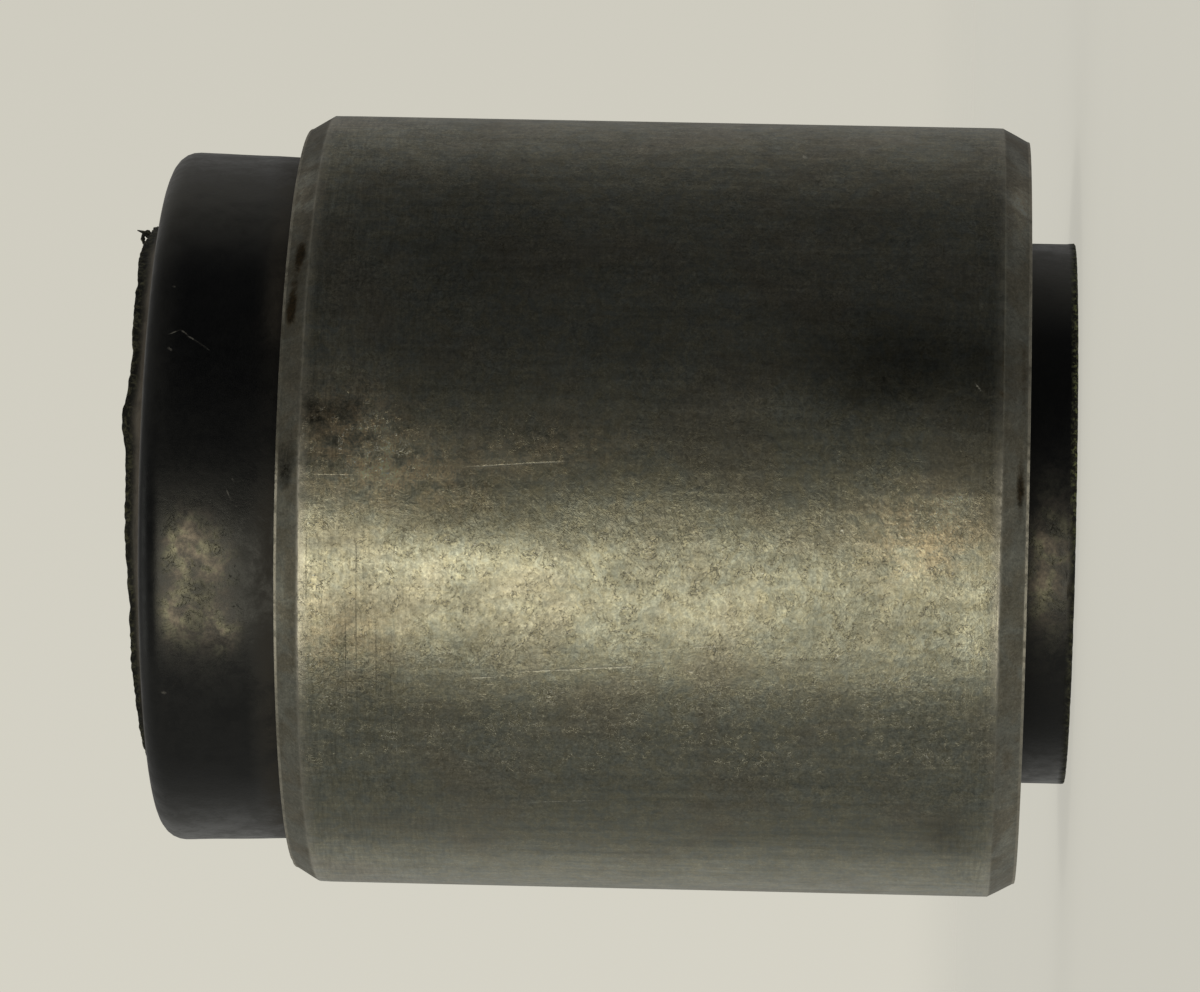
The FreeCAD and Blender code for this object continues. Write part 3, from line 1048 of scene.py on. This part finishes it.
def rubber_rims(rubber, base, torn):
    """Open grain where the rubber is torn, the painted highlight along the shoulder's crest with the tan
    root of the upper boss, and the lower rim's olive grains.
    """
    torn_color = rubber.mix(rubber.spread(rubber.crumbs, 0.45, 0.68), TORN_DARK, TORN_OLIVE)
    base = rubber.mix(torn, base, torn_color)
    crest = rubber.mask("crest")
    rubbed_off = rubber.spread(rubber.blotches, 0.3, 0.6, 0.55, 1.0)
    base = rubber.mix(rubber.times(crest, rubbed_off), base, CREST_TAN)
    # The painted highlight along the crest
    crest_line = rubber.spread(crest, 0.70, 1.0)
    crest_line = rubber.times(crest_line, rubber.spread(rubber.fine, 0.3, 0.6, 0.1, 0.8))
    base = rubber.mix(crest_line, base, CREST_PALE)
    specks = rubber.times(rubber.mask("specks"), rubber.spread(rubber.grains, 0.50, 0.62))
    return rubber.mix(specks, base, SPECK_OLIVE)


def rubber_material():
    """Black moulded rubber: tan where worn and where its highlight is painted, brown with grime, grey with
    dust and painted sheen, with a painted highlight along the shoulder's crest, and open where torn.
    """
    rubber = Rubber("black_moulded_rubber")
    torn = rubber.mask("torn")
    cracks = rubber_cracks(rubber)
    grime = rubber.times(rubber.mask("grime"), rubber.spread(rubber.blotches, 0.25, 0.60, 0.35, 1.0))
    dust = rubber.times(rubber.mask("dust"), rubber.spread(rubber.blotches, 0.2, 0.7, 0.6, 1.0))
    wander = rubber.minus(rubber.noise(0.8, 2.0), 0.5)
    marks = rubber.scratches(RIM_RADIUS, RUBBER_MARKS, rubber.times(wander, 0.15))
    marks = rubber.times(marks, rubber.spread(rubber.grains, 0.38, 0.62, 0.10, 0.5))

    base = rubber.mix(rubber.spread(rubber.fine, 0.3, 0.7), RUBBER_BLACK, RUBBER_GREY)
    # Tan bloom, which also paints the highlight
    base = rubber_worn(rubber, base, cracks)
    base = rubber.mix(rubber.times(grime, 0.7), base, GRIME_BROWN)
    # Dust, painted sheen and a little painted highlight
    base = rubber.mix(dust, base, DUST_GREY)
    base = rubber_rims(rubber, base, torn)
    base = rubber.mix(marks, base, MARK_PALE)

    rough = rubber.spread(rubber.blotches, 0.35, 0.65, 0.29, 0.45)
    rough = rubber.plus(rough, rubber.times(grime, 0.22))
    rough = rubber.plus(rough, rubber.times(torn, 0.35), True)
    relief = rubber.plus(rubber.times(rubber.fine, 0.3), rubber.times(rubber.blotches, 0.5))
    relief = rubber.plus(relief, rubber.times(rubber.times(rubber.crumbs, torn), 3.0))
    relief = rubber.minus(relief, rubber.times(rubber.mask("bloom"), cracks))

    rubber.wire("Base Color", base)
    rubber.wire("Roughness", rough)
    rubber.wire("Normal", rubber.bump(relief, RUBBER_RELIEF, 0.6))
    rubber.shader.inputs["Specular IOR Level"].default_value = 0.7
    rubber.shader.inputs["Sheen Weight"].default_value = 0.06
    rubber.shader.inputs["Sheen Roughness"].default_value = 0.3
    return rubber.material


# Stage
FLOOR_SPAN = 8.0
FADE_START, FADE_END = 0.35, 3.5
FLOOR_DARK = (0.12, 0.118, 0.107, 1)
FLOOR_PALE = (0.13, 0.128, 0.116, 1)
FLOOR_GLOW = (1.0, 0.975, 0.86, 1)
FLOOR_GLOW_STRENGTH = 0.50


def make_floor():
    """Pale floor under the bush, which fades into the background far away."""
    mesh = bpy.data.meshes.new("floor")
    half = FLOOR_SPAN / 2
    corners = [(-half, -half, 0), (half, -half, 0), (half, half, 0), (-half, half, 0)]
    mesh.from_pydata(corners, [], [(0, 1, 2, 3)])
    floor = bpy.data.objects.new("floor", mesh)
    bpy.context.scene.collection.objects.link(floor)
    graph = Graph("pale_floor")
    distance = graph.add("ShaderNodeVectorMath", {0: graph.place}, operation="LENGTH").outputs["Value"]
    nearness = graph.math("DIVIDE", 1 / MM, distance)
    graph.wire("Base Color", graph.mix(graph.noise(0.05, 3.0), FLOOR_DARK, FLOOR_PALE))
    graph.wire("Alpha", graph.spread(nearness, 1 / FADE_END, 1 / FADE_START))
    graph.shader.inputs["Emission Color"].default_value = FLOOR_GLOW
    graph.shader.inputs["Emission Strength"].default_value = FLOOR_GLOW_STRENGTH
    graph.shader.inputs["Roughness"].default_value = 0.8
    graph.shader.inputs["Specular IOR Level"].default_value = 0.1
    mesh.materials.append(graph.material)
    floor.visible_glossy = False


# Tints of the paper that the bush mirrors: in the shade, behind the bush and in the light.
SHADED_PAPER = (0.95, 0.98, 1.0)
EDGE_PAPER = (1.0, 0.985, 0.95)
LIT_PAPER = (0.985, 1.0, 0.92)
# What the metal and rubber mirror. Each row has a direction, how closely a ray has to follow it for its
# glow to start and to be full (1 is straight along it), its brightness and its tint. The first row glows
# everywhere.
REFLECTED = [
    ((0.0, 0.0, 0.0), -1.0, -0.5, 0.031, SHADED_PAPER),
    ((0.0, 1.0, 0.0), 0.15, 1.0, 0.18, EDGE_PAPER),
    ((1.0, -0.05, 0.0), 0.85, 1.0, 0.010, SHADED_PAPER),
    ((-0.5, 0.87, 0.0), 0.87, 1.0, 0.12, LIT_PAPER),
    ((-1.0, 0.0, 0.0), 0.20, 0.95, 0.09, LIT_PAPER),
    ((-0.2, -0.98, 0.0), 0.55, 1.0, 0.05, LIT_PAPER),
    ((0.0, 0.0, 1.0), 0.50, 0.85, 0.04, LIT_PAPER),
    ((0.0, 0.0, -1.0), 0.40, 0.85, 0.09, LIT_PAPER),
    ((-0.235, 0.06, 0.97), 0.93, 0.99, 0.4, LIT_PAPER),
    ((-0.235, 0.06, -0.97), 0.93, 0.99, 0.4, LIT_PAPER),
]
# The even light that falls on dull surfaces
EVEN_LIGHT = (1.0, 0.98, 0.90, 1)
EVEN_STRENGTH = 0.55
# What the camera sees behind the bush: one tone, a little darker towards the top of the picture
BACKGROUND = (0.645, 0.625, 0.545, 1)
BACKGROUND_SLOPE = -0.5


def make_world():
    """Pale paper round the bush, darker on the camera's side. The camera sees one plain pale tone."""
    world = bpy.data.worlds.new("studio")
    world.use_nodes = True
    world.node_tree.nodes.clear()
    bpy.context.scene.world = world
    graph = Nodes(world.node_tree)
    direction = graph.add("ShaderNodeTexCoord").outputs["Generated"]
    color = (0, 0, 0)
    for towards, low, high, brightness, tint in REFLECTED:
        facing = graph.vector_math("DOT_PRODUCT", direction, towards)["Value"]
        glow = graph.spread(facing, low, high, 0.0, brightness)
        color = graph.vector_math("ADD", color, graph.shaded(tint, glow))[0]
    mirrored = graph.add("ShaderNodeBackground", {"Color": color, "Strength": 1.0})
    across = graph.add("ShaderNodeSeparateXYZ", {0: direction}).outputs[0]
    falloff = graph.sloped(across, BACKGROUND_SLOPE, 1.0)
    seen = graph.add("ShaderNodeBackground", {"Color": BACKGROUND, "Strength": falloff})
    even = graph.add("ShaderNodeBackground", {"Color": EVEN_LIGHT, "Strength": EVEN_STRENGTH})
    ray = graph.add("ShaderNodeLightPath").outputs
    inputs = {0: ray["Is Diffuse Ray"], 1: mirrored.outputs[0], 2: even.outputs[0]}
    unseen = graph.add("ShaderNodeMixShader", inputs)
    inputs = {0: ray["Is Camera Ray"], 1: unseen.outputs[0], 2: seen.outputs[0]}
    mixed = graph.add("ShaderNodeMixShader", inputs)
    graph.add("ShaderNodeOutputWorld", {"Surface": mixed.outputs[0]})


# Soft lights: the key on the camera's side, and one overhead for the floor and the dull surfaces.
BUSH_MIDDLE = (0, 0, 0.027)
KEY_PLACE = (-0.55, -1.13, 0.21)
KEY_SIZE = (0.82, 0.5)
KEY_POWER = 1.98
KEY_COLOR = (1.0, 0.955, 0.76)
OVERHEAD_PLACE = (0.1, 0.2, 1.6)
OVERHEAD_SIZE = (1.2, 1.2)
OVERHEAD_POWER = 8
OVERHEAD_COLOR = (1.0, 0.99, 0.95)


def area_light(name, place, size, power, color):
    """Soft rectangular light that faces the bush and isn't seen by the camera."""
    data = bpy.data.lights.new(name, "AREA")
    data.shape = "RECTANGLE"
    data.size, data.size_y = size
    data.energy = power
    data.color = color
    light = bpy.data.objects.new(name, data)
    light.location = place
    light.rotation_euler = (Vector(place) - Vector(BUSH_MIDDLE)).to_track_quat("Z", "Y").to_euler()
    light.visible_camera = False
    bpy.context.scene.collection.objects.link(light)
    return light


def make_lights():
    area_light("key", KEY_PLACE, KEY_SIZE, KEY_POWER, KEY_COLOR)
    overhead = area_light("overhead", OVERHEAD_PLACE, OVERHEAD_SIZE, OVERHEAD_POWER, OVERHEAD_COLOR)
    overhead.visible_glossy = False


# The camera looks along +Y from beside the bush. It is rolled, so that +X is up in the picture.
CAMERA_PLACE = (0.0, -0.4039, 0.0108)
CAMERA_FORWARD = (0.0012, 0.99914, 0.04139)
CAMERA_UP = (0.99977, -0.00207, 0.02098)
SENSOR_WIDTH = 36.0
FOCAL_PIXELS = 6878.3
PICTURE_WIDTH = 1200


def make_camera():
    data = bpy.data.cameras.new("camera")
    data.sensor_fit = "HORIZONTAL"
    data.sensor_width = SENSOR_WIDTH
    data.lens = SENSOR_WIDTH * FOCAL_PIXELS / PICTURE_WIDTH
    data.clip_start = 0.01
    camera = bpy.data.objects.new("camera", data)
    forward = Vector(CAMERA_FORWARD).normalized()
    right = forward.cross(Vector(CAMERA_UP)).normalized()
    up = right.cross(forward)
    turned = Matrix((right, up, -forward)).transposed().to_4x4()
    camera.matrix_world = Matrix.Translation(CAMERA_PLACE) @ turned
    bpy.context.scene.collection.objects.link(camera)
    bpy.context.scene.camera = camera


def main():
    rows = [
        (make_sleeve(), "outer_sleeve", "sleeve_steel", steel_material("bare_sleeve_steel", True)),
        (make_rubber(), "rubber_body", "black_rubber", rubber_material()),
        (make_tube(), "inner_tube", "tube_steel", steel_material("bare_tube_steel", False)),
    ]
    for piece, node, slot, material in rows:
        piece.data.materials.append(material)
        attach(piece, "root")
        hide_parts(node)
    make_floor()
    make_world()
    make_lights()
    make_camera()
    bpy.context.scene.view_settings.view_transform = "Standard"


main()
